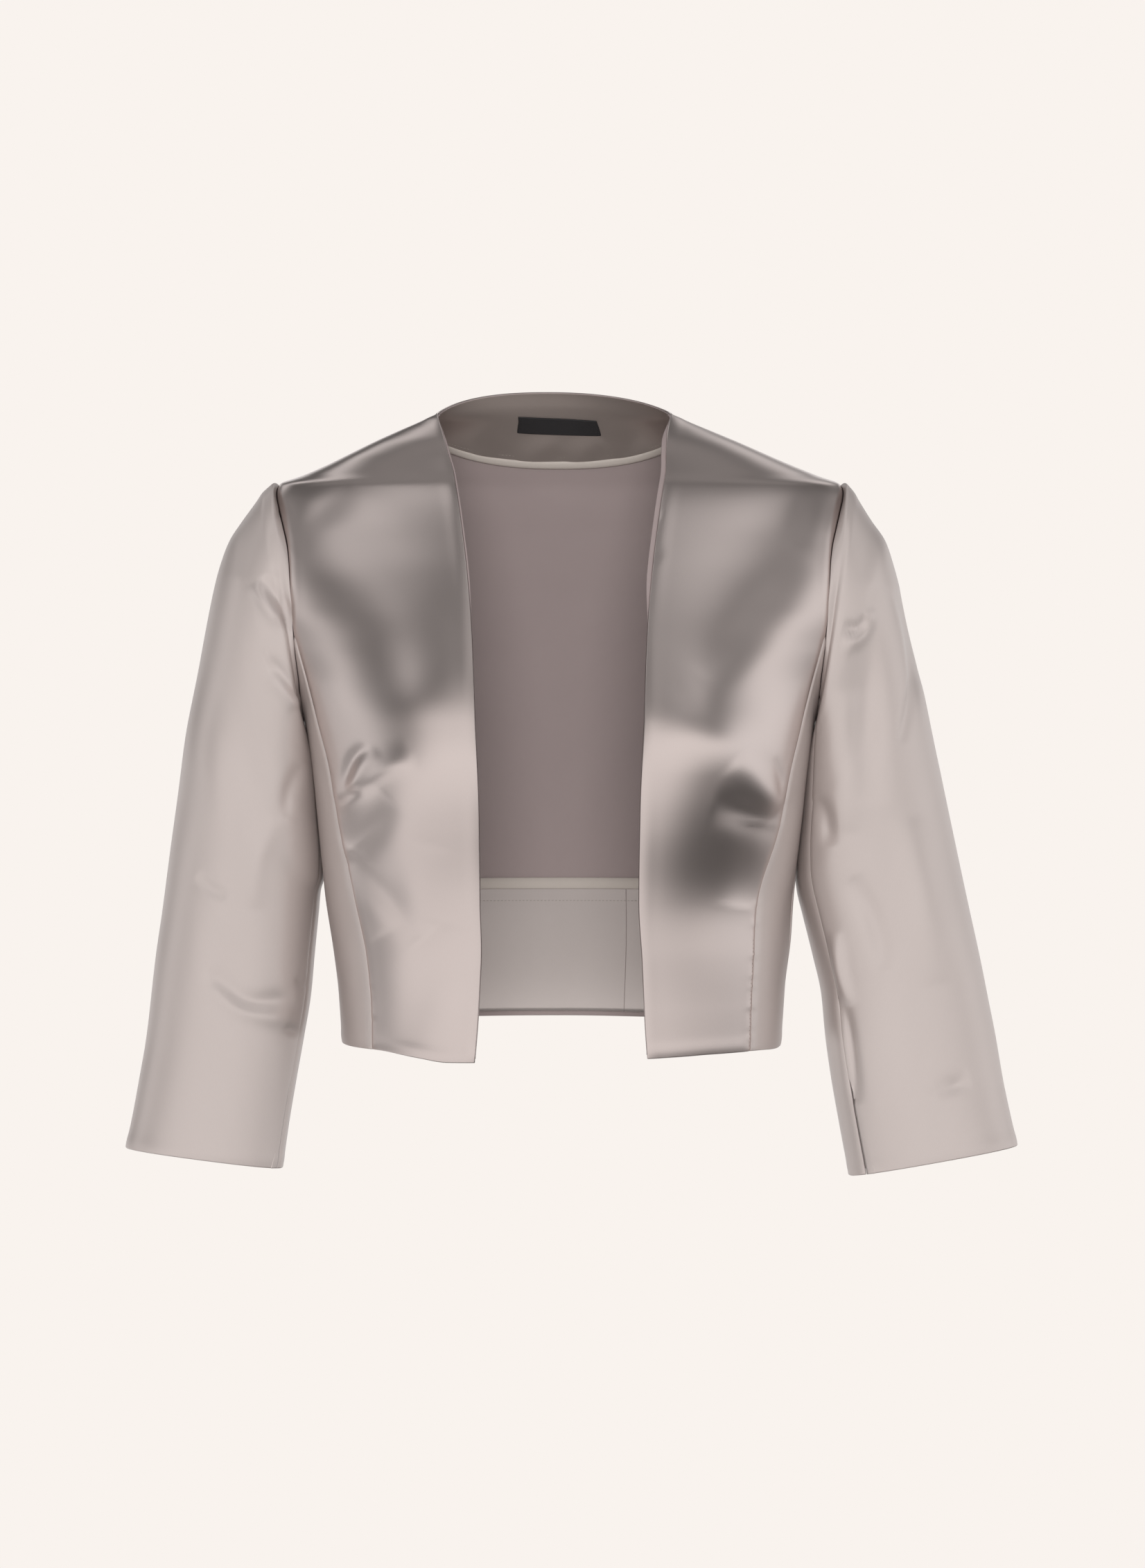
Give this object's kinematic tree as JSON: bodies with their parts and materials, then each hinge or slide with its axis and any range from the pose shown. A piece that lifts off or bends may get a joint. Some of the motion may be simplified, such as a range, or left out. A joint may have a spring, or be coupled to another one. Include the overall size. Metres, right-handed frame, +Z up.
{
  "type": "bolero jacket",
  "caption": "Short open collarless satin jacket with three-quarter sleeves, back neck facing and hem facing, filled out as if worn.",
  "frame": {"origin": "midway between the two shoulder points at the neck, where the wearer's shoulders hold the jacket", "axes": "+Z up, -Y to the front of the jacket, +X to the wearer's left"},
  "size_m": [0.6001, 0.2154, 0.5273],
  "materials": {
    "satin": "heavy satin, soft shine, pinkish grey",
    "facing_satin": "the same satin as a facing on the inside",
    "binding_tape": "matte bias binding",
    "label_cloth": "plain dark woven tape, blank"
  },
  "bodies": {
    "root": {"back": "satin", "neck_facing": "facing_satin", "neck_binding": "binding_tape", "label": "label_cloth", "hem_facing_side": "facing_satin", "hem_facing_back": "facing_satin", "hem_binding": "binding_tape", "front_right": "satin", "front_facing_right": "facing_satin", "side_front_right": "satin", "side_back_right": "satin", "sleeve_top_right": "satin", "sleeve_under_right": "satin", "vent_underlap_right": "satin", "front_left": "satin", "front_facing_left": "facing_satin", "side_front_left": "satin", "side_back_left": "satin", "sleeve_top_left": "satin", "sleeve_under_left": "satin", "vent_underlap_left": "satin"}
  },
  "joints": []
}
